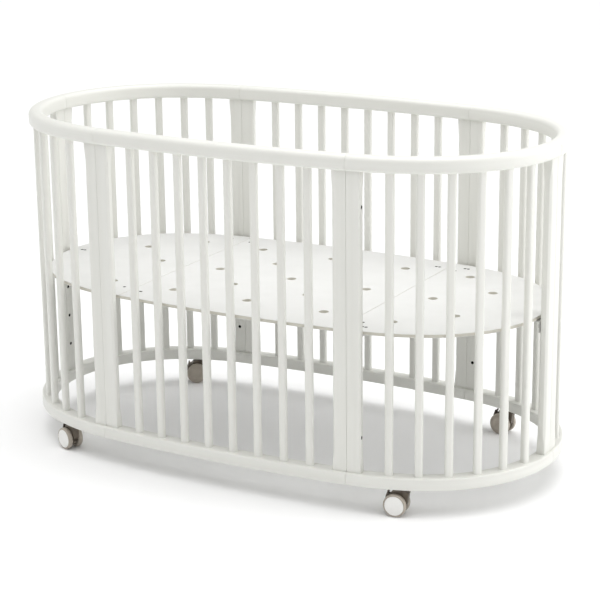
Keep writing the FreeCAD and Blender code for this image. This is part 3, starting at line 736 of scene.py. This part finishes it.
def make_screws(finish):
    neck = BASE_TOP - SCREW_HEAD
    head = new_rod("screw", SCREW_RADIUS, (0, 0, neck), (0, 0, BASE_TOP - SCREW_BELOW_FACE), 24,
                   tip=SCREW_HEAD_RADIUS)
    edit(head)
    choose("faces", lambda f: f.normal.z > 0.9)
    bpy.ops.mesh.inset(thickness=0.35 * MM)
    bpy.ops.transform.translate(value=(0, 0, 0.08 * MM))
    done()
    long, narrow, deep = SCREW_CROSS
    for size in ((long, narrow, deep), (narrow, long, deep)):
        combine(head, new_block("bit", size, (0, 0, BASE_TOP)), "DIFFERENCE")
    shank = new_rod("shank", SCREW_RADIUS, (0, 0, BASE_BOTTOM - SCREW_SHANK_BELOW), (0, 0, neck), 16)
    model = join([head, shank], "screw_model")
    row = []
    for index, (x, y) in enumerate(screw_points()):
        turn = Matrix.Translation((x, y, 0)) @ Matrix.Rotation(SCREW_TURN * index, 4, "Z")
        row.append(copy_of(model, "screw_copy", turn))
    piece = join(row, "base_screws_shaped")
    piece.data.materials.append(finish)
    smooth(piece, 35)
    bin_it(model)
    fit(piece, "mattress_base", "dark_steel", "base_screws")


# ============================================================ casters
def axle_rod(name, radius, low_y, high_y, sides=64):
    return new_rod(name, radius, (WHEEL_TRAIL, low_y, WHEEL_RADIUS),
                   (WHEEL_TRAIL, high_y, WHEEL_RADIUS), sides)


def from_axle(corner):
    return math.hypot(corner.x - WHEEL_TRAIL, corner.z - WHEEL_RADIUS)


def end_face(y):
    return lambda f: near(middle(f).y, y) and abs(f.normal.y) > 0.9 and from_axle(middle(f)) < MM


def step_in(y, steps):
    """In edit mode, inset the round end face at y by a ring and move it, once for each step."""
    for ring, depth in steps:
        choose("faces", end_face(y))
        bpy.ops.mesh.inset(thickness=ring, use_even_offset=True)
        bpy.ops.mesh.extrude_region_move(TRANSFORM_OT_translate={"value": (0, depth, 0)})
        y += depth


def make_wheel(capped):
    inner = WHEEL_INNER_Y
    outer = inner + WHEEL_WIDTH
    piece = axle_rod("wheel", WHEEL_RADIUS, inner, outer, 96)
    edit(piece)
    for y in (inner + TREAD_EDGE, outer - TREAD_EDGE):
        everything()
        bpy.ops.mesh.bisect(plane_co=(0, y, 0), plane_no=(0, 1, 0))
    choose("edges", lambda e: near(e.verts[0].co.y, e.verts[1].co.y)
           and (near(e.verts[0].co.y, inner) or near(e.verts[0].co.y, outer)))
    bpy.ops.mesh.bevel(offset=WHEEL_ROUND, segments=6, affect="EDGES")
    step_in(outer, CAP_SEAT_STEPS if capped else PLAIN_FACE_STEPS)
    step_in(inner, INNER_FACE_STEPS)
    done()
    drill(piece, [axle_rod("bit", AXLE_RADIUS + RUNNING_GAP, 0, AXLE_BORE_END, 32)])
    soften(piece, WHEEL_SOFTENING, 2, 40)
    smooth(piece, 35)
    return piece


def make_cap():
    outer = WHEEL_INNER_Y + WHEEL_WIDTH
    low, high = outer - CAP_RECESS, outer + CAP_PROUD
    piece = axle_rod("cap", CAP_RADIUS, low, high, 96)
    edit(piece)
    choose("edges", lambda e: all(near(v.co.y, high) for v in e.verts))
    bpy.ops.mesh.bevel(offset=CAP_ROUND, segments=5, affect="EDGES")
    for ring, rise in CAP_DOME:
        choose("faces", lambda f: f.normal.y > 0.99 and len(f.verts) > 40)
        bpy.ops.mesh.inset(thickness=ring)
        bpy.ops.transform.translate(value=(0, rise, 0))
    done()
    smooth(piece, 40)
    return piece


def cross_plate(name, points, low_y, high_y):
    """A plate across the caster with the given XZ outline in millimetres."""
    return new_outline(name, [(x * MM, z * MM) for x, z in points], high_y - low_y, low_y)


def pivot_rod(name, radius, low_y, high_y, sides=32):
    px, pz = LEVER_PIVOT
    return new_rod(name, radius, (px, low_y, pz), (px, high_y, pz), sides)


def pivot_in_millimetres():
    return LEVER_PIVOT[0] / MM, LEVER_PIVOT[1] / MM, KNUCKLE_RADIUS / MM


def round_profile(piece, corners, offset, segments=5):
    """Round the edges that cross the piece at the given XZ corners."""
    edit(piece)
    choose("edges", lambda e: near(e.verts[0].co.x, e.verts[1].co.x)
           and near(e.verts[0].co.z, e.verts[1].co.z)
           and any(math.hypot(middle(e).x - x * MM, middle(e).z - z * MM) < 0.1 * MM
                   for x, z in corners))
    bpy.ops.mesh.bevel(offset=offset, segments=segments, affect="EDGES")
    done()


def make_hood():
    """Body between the wheels, its round shroud, the stem's boss and the lever's knuckle."""
    half = HOOD_HALF_WIDTH
    hood = cross_plate("hood", HOOD_PROFILE, -half, half)
    round_profile(hood, HOOD_PROFILE[4:6], HOOD_TOP_ROUND)
    round_profile(hood, HOOD_PROFILE[6:7], HOOD_FRONT_ROUND)
    round_profile(hood, HOOD_PROFILE[2:3], HOOD_BACK_ROUND, 3)
    combine(hood, axle_rod("shroud", SHROUD_RADIUS, -half, half, 96), "UNION")
    combine(hood, new_rod("boss", BOSS_RADIUS, (0, 0, BOSS_BOTTOM), (0, 0, BOSS_TOP), 64), "UNION")
    px, pz, radius = pivot_in_millimetres()
    arm = [(ARM_ROOT_X, pz + radius), (px, pz + radius), (px, pz - radius), (ARM_ROOT_X, pz - radius)]
    combine(hood, cross_plate("arm", arm, -KNUCKLE_HALF_WIDTH, KNUCKLE_HALF_WIDTH), "UNION")
    combine(hood, pivot_rod("knuckle", KNUCKLE_RADIUS, -KNUCKLE_HALF_WIDTH, KNUCKLE_HALF_WIDTH), "UNION")
    drill(hood, [new_rod("bit", STEM_BORE_RADIUS, (0, 0, STEM_BORE_FROM), (0, 0, 2 * BOSS_TOP), 32)])
    drill(hood, [pivot_rod("bit", PIN_RADIUS + RUNNING_GAP, -half, half, 24)])
    drill(hood, [axle_rod("bit", AXLE_RADIUS, -2 * half, 2 * half, 32)])
    soften(hood, HOOD_SOFTENING, 3, 35)
    smooth(hood, 35)
    return hood


def make_lever():
    """Pedal plate with a saddled lip, and two cheeks on a pin through the knuckle."""
    half = LEVER_HALF_WIDTH
    lever = cross_plate("lever", LEVER_PLATE, -half, half)
    lip_x, lip_z = LEVER_LIP
    lip = new_rod("lip", LEVER_LIP_RADIUS, (lip_x, -half, lip_z), (lip_x, half, lip_z), 32)
    combine(lever, lip, "UNION")
    saddle_z = lip_z + SADDLE_ABOVE_LIP
    start_x, stop_x = SADDLE_X
    drill(lever, [new_rod("bit", SADDLE_RADIUS, (start_x, 0, saddle_z), (stop_x, 0, saddle_z), 64)])
    px, pz, radius = pivot_in_millimetres()
    top_x, low_x = LINK_END_X
    arm = [(px, pz + radius), (top_x, pz + radius), (low_x, pz - radius), (px, pz - radius)]
    for low in (-half, half - CHEEK_WIDTH):
        combine(lever, cross_plate("link", arm, low, low + CHEEK_WIDTH), "UNION")
        combine(lever, pivot_rod("cheek", KNUCKLE_RADIUS, low, low + CHEEK_WIDTH), "UNION")
    combine(lever, pivot_rod("pin", PIN_RADIUS, -half, half, 24), "UNION")
    soften(lever, LEVER_SOFTENING, 3, 35)
    smooth(lever, 35)
    return lever


def make_casters(looks):
    models = {"hood": make_hood(), "lever": make_lever(), "cap": make_cap(),
              "outer": make_wheel(True), "inner": make_wheel(False)}
    for place, (swivel, cap_side) in CASTERS.items():
        sx, sy = MIRRORS[place]
        seat = (Matrix.Translation((sx * CASTER_X, sy * CASTER_Y, 0))
                @ Matrix.Rotation(math.radians(swivel), 4, "Z"))
        parts = [("hood", 1, "caster", "dark_plastic", "caster_hood"),
                 ("lever", 1, "brake", "dark_plastic", "brake_lever"),
                 ("cap", cap_side, "wheel_out", "white_plastic", "wheel_cap"),
                 ("outer", cap_side, "wheel_out", "taupe_plastic", "outer_wheel"),
                 ("inner", -cap_side, "wheel_in", "taupe_plastic", "inner_wheel")]
        for model, side, body, slot, node in parts:
            turned = copy_of(models[model], "turned", mirror=(1, side))
            piece = copy_of(turned, f"{node}_{place}_shaped", seat)
            bin_it(turned)
            piece.data.materials.append(looks[slot])
            fit(piece, f"{body}_{place}", slot, f"{node}_{place}")
    bin_it(*models.values())


# ============================================================ finishes
def new_finish(name):
    material = bpy.data.materials.new(name)
    material.use_nodes = True
    nodes = material.node_tree.nodes
    return material, nodes, material.node_tree.links, nodes["Principled BSDF"]


def add_node(nodes, kind, **inputs):
    node = nodes.new(kind)
    for key, value in inputs.items():
        node.inputs[key.replace("_", " ")].default_value = value
    return node


def stretched(nodes, links, source, scale):
    mapping = add_node(nodes, "ShaderNodeMapping", Scale=scale)
    links.new(source, mapping.inputs["Vector"])
    return mapping.outputs["Vector"]


def ramp(nodes, links, factor, low, high, start=0.3, end=0.7):
    """Blend between two colours as a pattern goes from start to end."""
    node = nodes.new("ShaderNodeValToRGB")
    node.color_ramp.elements[0].position = start
    node.color_ramp.elements[1].position = end
    node.color_ramp.elements[0].color = (*low, 1)
    node.color_ramp.elements[1].color = (*high, 1)
    links.new(factor, node.inputs["Fac"])
    return node.outputs["Color"]


def spread(nodes, links, factor, low, high):
    node = add_node(nodes, "ShaderNodeMapRange", To_Min=low, To_Max=high)
    links.new(factor, node.inputs["Value"])
    return node.outputs["Result"]


def bump(nodes, links, height, strength, distance, after=None):
    node = add_node(nodes, "ShaderNodeBump", Strength=strength, Distance=distance)
    links.new(height, node.inputs["Height"])
    if after is not None:
        links.new(after, node.inputs["Normal"])
    return node.outputs["Normal"]


def noise(nodes, links, vector, scale, detail=3.0, roughness=0.5):
    node = add_node(nodes, "ShaderNodeTexNoise", Scale=scale, Detail=detail, Roughness=roughness)
    links.new(vector, node.inputs["Vector"])
    return node.outputs["Fac"]


def satin_lacquer():
    """Warm white lacquer over close-grained wood: fibres just show through."""
    material, nodes, links, shader = new_finish("satin_white_lacquer")
    grain = nodes.new("ShaderNodeAttribute")
    grain.attribute_name = "grain"
    place = nodes.new("ShaderNodeTexCoord").outputs["Object"]
    along = grain.outputs["Vector"]
    fibres = noise(nodes, links, stretched(nodes, links, along, (3, 420, 420)), 1.0, 4.0)
    figure = noise(nodes, links, stretched(nodes, links, along, (1.2, 55, 55)), 1.0, 3.0)
    spray = noise(nodes, links, place, 900.0, 2.0)
    links.new(ramp(nodes, links, figure, (0.728, 0.728, 0.683), (0.766, 0.766, 0.725)),
              shader.inputs["Base Color"])
    links.new(spread(nodes, links, fibres, 0.34, 0.50), shader.inputs["Roughness"])
    first = bump(nodes, links, fibres, 0.25, 0.10 * MM)
    second = bump(nodes, links, spray, 0.10, 0.05 * MM, first)
    links.new(second, shader.inputs["Normal"])
    shader.inputs["Specular IOR Level"].default_value = 0.45
    shader.inputs["Coat Weight"].default_value = 0.15
    shader.inputs["Coat Roughness"].default_value = 0.35
    return material


def board_face():
    material, nodes, links, shader = new_finish("painted_board_face")
    place = nodes.new("ShaderNodeTexCoord").outputs["Object"]
    cloud = noise(nodes, links, place, 14.0, 4.0)
    peel = noise(nodes, links, place, 700.0, 2.0)
    links.new(ramp(nodes, links, cloud, (0.685, 0.685, 0.668), (0.715, 0.715, 0.700)),
              shader.inputs["Base Color"])
    links.new(spread(nodes, links, peel, 0.42, 0.56), shader.inputs["Roughness"])
    links.new(bump(nodes, links, peel, 0.15, 0.06 * MM), shader.inputs["Normal"])
    return material


def board_edge_shade():
    """The board's cut edges: a darker, warmer colour than its face, which is painted shade, with layered
    streaks like pressed fibres.
    """
    material, nodes, links, shader = new_finish("board_edge_painted_shade")
    place = nodes.new("ShaderNodeTexCoord").outputs["Object"]
    layers = noise(nodes, links, stretched(nodes, links, place, (60, 60, 900)), 1.0, 4.0)
    specks = noise(nodes, links, place, 1500.0, 3.0)
    links.new(ramp(nodes, links, layers, (0.54, 0.52, 0.45), (0.68, 0.655, 0.585)),
              shader.inputs["Base Color"])
    links.new(spread(nodes, links, specks, 0.55, 0.75), shader.inputs["Roughness"])
    links.new(bump(nodes, links, specks, 0.35, 0.12 * MM), shader.inputs["Normal"])
    return material


def bare_wood():
    material, nodes, links, shader = new_finish("bare_beech")
    place = nodes.new("ShaderNodeTexCoord").outputs["Object"]
    fibres = noise(nodes, links, stretched(nodes, links, place, (40, 900, 900)), 1.0, 4.0)
    links.new(ramp(nodes, links, fibres, (0.52, 0.36, 0.21), (0.72, 0.55, 0.36)),
              shader.inputs["Base Color"])
    links.new(spread(nodes, links, fibres, 0.5, 0.7), shader.inputs["Roughness"])
    links.new(bump(nodes, links, fibres, 0.3, 0.1 * MM), shader.inputs["Normal"])
    return material


def metal(name, low, high, rough, scale, stretch=(1, 1, 1), depth=0.05 * MM):
    material, nodes, links, shader = new_finish(name)
    place = nodes.new("ShaderNodeTexCoord").outputs["Object"]
    pattern = noise(nodes, links, stretched(nodes, links, place, stretch), scale, 4.0)
    fine = noise(nodes, links, place, 2600.0, 2.0)
    links.new(ramp(nodes, links, pattern, low, high), shader.inputs["Base Color"])
    links.new(spread(nodes, links, pattern, *rough), shader.inputs["Roughness"])
    links.new(bump(nodes, links, fine, 0.2, depth), shader.inputs["Normal"])
    shader.inputs["Metallic"].default_value = 1.0
    return material


def plastic(name, low, high, rough, texture_scale, texture_depth):
    material, nodes, links, shader = new_finish(name)
    place = nodes.new("ShaderNodeTexCoord").outputs["Object"]
    cloud = noise(nodes, links, place, 60.0, 4.0)
    spark = noise(nodes, links, place, texture_scale, 3.0)
    links.new(ramp(nodes, links, cloud, low, high), shader.inputs["Base Color"])
    links.new(spread(nodes, links, spark, *rough), shader.inputs["Roughness"])
    links.new(bump(nodes, links, spark, 0.3, texture_depth), shader.inputs["Normal"])
    return material


def make_finishes():
    return {"white_lacquer": satin_lacquer(),
            "base_board": board_face(),
            "board_edge_shade": board_edge_shade(),
            "bare_wood": bare_wood(),
            "dark_steel": metal("black_zinc_steel", (0.016, 0.015, 0.014), (0.032, 0.030, 0.028),
                                (0.5, 0.68), 300.0),
            "brass_insert": metal("turned_brass", (0.60, 0.42, 0.17), (0.74, 0.54, 0.25),
                                  (0.25, 0.45), 500.0),
            "zinc_steel": metal("zinc_plated_steel", (0.42, 0.42, 0.41), (0.60, 0.60, 0.58),
                                (0.28, 0.5), 120.0),
            "dark_plastic": plastic("brown_nylon", (0.105, 0.084, 0.062), (0.145, 0.119, 0.092),
                                    (0.34, 0.52), 1400.0, 0.05 * MM),
            "taupe_plastic": plastic("taupe_wheel_plastic", (0.375, 0.332, 0.280), (0.445, 0.398, 0.342),
                                     (0.42, 0.6), 1200.0, 0.05 * MM),
            "white_plastic": plastic("white_cap_plastic", (0.84, 0.835, 0.81), (0.88, 0.875, 0.85),
                                     (0.30, 0.44), 1000.0, 0.03 * MM)}


CARRIED_OVER = {"section_bolts": "dark_steel", "section_inserts": "brass_insert",
                "base_inserts": "dark_steel", "base_pins": "zinc_steel",
                "base_brackets": "zinc_steel", "base_dowels": "bare_wood",
                "caster_sockets": "dark_plastic", "caster_stems": "zinc_steel"}


def dress_carried_over(looks):
    for name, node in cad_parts.items():
        if name in CARRIED_OVER:
            slot = CARRIED_OVER[name]
        elif name.startswith("caster_axle"):
            slot = "zinc_steel"
        else:
            continue
        node.data.materials.clear()
        node.data.materials.append(looks[slot])


# ============================================================ studio
SKY_RIM = 1.0
SKY_LOW = 0.26
SKY_OVERHEAD = 2.75
SKY_SHARPNESS = 4.0
RIM_SHARPNESS = 6.0


def make_floor():
    deselect_all()
    bpy.ops.mesh.primitive_plane_add(size=60, location=(0, 0, 0))
    floor = bpy.context.object
    floor.name = "studio_floor"
    material, nodes, links, shader = new_finish("pale_studio_floor")
    place = nodes.new("ShaderNodeTexCoord").outputs["Object"]
    cloud = noise(nodes, links, place, 0.6, 2.0)
    links.new(ramp(nodes, links, cloud, (0.925, 0.925, 0.925), (0.94, 0.94, 0.94)),
              shader.inputs["Base Color"])
    shader.inputs["Roughness"].default_value = 0.9
    shader.inputs["Specular IOR Level"].default_value = 0.1
    floor.data.materials.append(material)


def soft_light(name, place, aim, size, power, color=(1, 1, 1)):
    light = bpy.data.lights.new(name, "AREA")
    light.shape = "RECTANGLE"
    light.size, light.size_y = size
    light.energy = power
    light.color = color
    lamp = bpy.data.objects.new(name, light)
    bpy.context.scene.collection.objects.link(lamp)
    lamp.location = place
    lamp.rotation_euler = (Vector(aim) - Vector(place)).to_track_quat("-Z", "Y").to_euler()


def arithmetic(nodes, links, operation, first, second, clamp=True):
    node = nodes.new("ShaderNodeMath")
    node.operation = operation
    node.use_clamp = clamp
    for socket, value in zip(node.inputs, (first, second)):
        if isinstance(value, float):
            socket.default_value = value
        else:
            links.new(value, socket)
    return node.outputs["Value"]


def make_studio():
    make_floor()
    world = bpy.data.worlds.new("studio_air")
    world.use_nodes = True
    nodes, links = world.node_tree.nodes, world.node_tree.links
    split = nodes.new("ShaderNodeSeparateXYZ")
    links.new(nodes.new("ShaderNodeTexCoord").outputs["Generated"], split.inputs["Vector"])
    height = split.outputs["Z"]
    overhead = arithmetic(nodes, links, "POWER", height, SKY_SHARPNESS)
    rim = arithmetic(nodes, links, "POWER", arithmetic(nodes, links, "SUBTRACT", 1.0, height, False),
                     RIM_SHARPNESS)
    rim = arithmetic(nodes, links, "MULTIPLY", rim, SKY_RIM - SKY_LOW)
    sky = spread(nodes, links, overhead, SKY_LOW, SKY_OVERHEAD)
    links.new(arithmetic(nodes, links, "ADD", sky, rim, False), nodes["Background"].inputs["Strength"])
    nodes["Background"].inputs["Color"].default_value = (1, 1, 1, 1)
    bpy.context.scene.world = world
    soft_light("left_wall", (-4.5, -0.8, 1.6), (0, 0, 0.5), (3.0, 2.4), 12)
    soft_light("right_wall", (4.0, 1.6, 2.0), (0, 0, 0.5), (3.0, 2.4), 78)
    soft_light("ceiling", (0.3, 0.0, 2.0), (0.2, 0, 0.5), (1.6, 0.9), 5.5)
    bpy.context.scene.view_settings.view_transform = "Standard"
    bpy.context.scene.view_settings.look = "None"


CAMERA_LENS = 112.0
CAMERA_PLACE = (2.1856, -3.8461, 1.6495)
CAMERA_TURN = 29.35         # degrees, to the left of straight back
CAMERA_DOWN = 16.13
CAMERA_ROLL = -0.61


def make_camera():
    camera = bpy.data.cameras.new("camera")
    eye = bpy.data.objects.new("camera", camera)
    bpy.context.scene.collection.objects.link(eye)
    camera.lens = CAMERA_LENS
    camera.sensor_width = 36.0
    camera.clip_end = 100.0
    eye.location = CAMERA_PLACE
    eye.rotation_euler = (Matrix.Rotation(math.radians(CAMERA_TURN), 3, "Z")
                          @ Matrix.Rotation(math.radians(90 - CAMERA_DOWN), 3, "X")
                          @ Matrix.Rotation(math.radians(CAMERA_ROLL), 3, "Z")).to_euler()
    bpy.context.scene.camera = eye


looks = make_finishes()
make_rails(looks["white_lacquer"])
make_slats(looks["white_lacquer"])
make_posts(looks["white_lacquer"])
make_panels(looks["base_board"], looks["board_edge_shade"])
make_screws(looks["dark_steel"])
make_casters(looks)
dress_carried_over(looks)
make_studio()
make_camera()
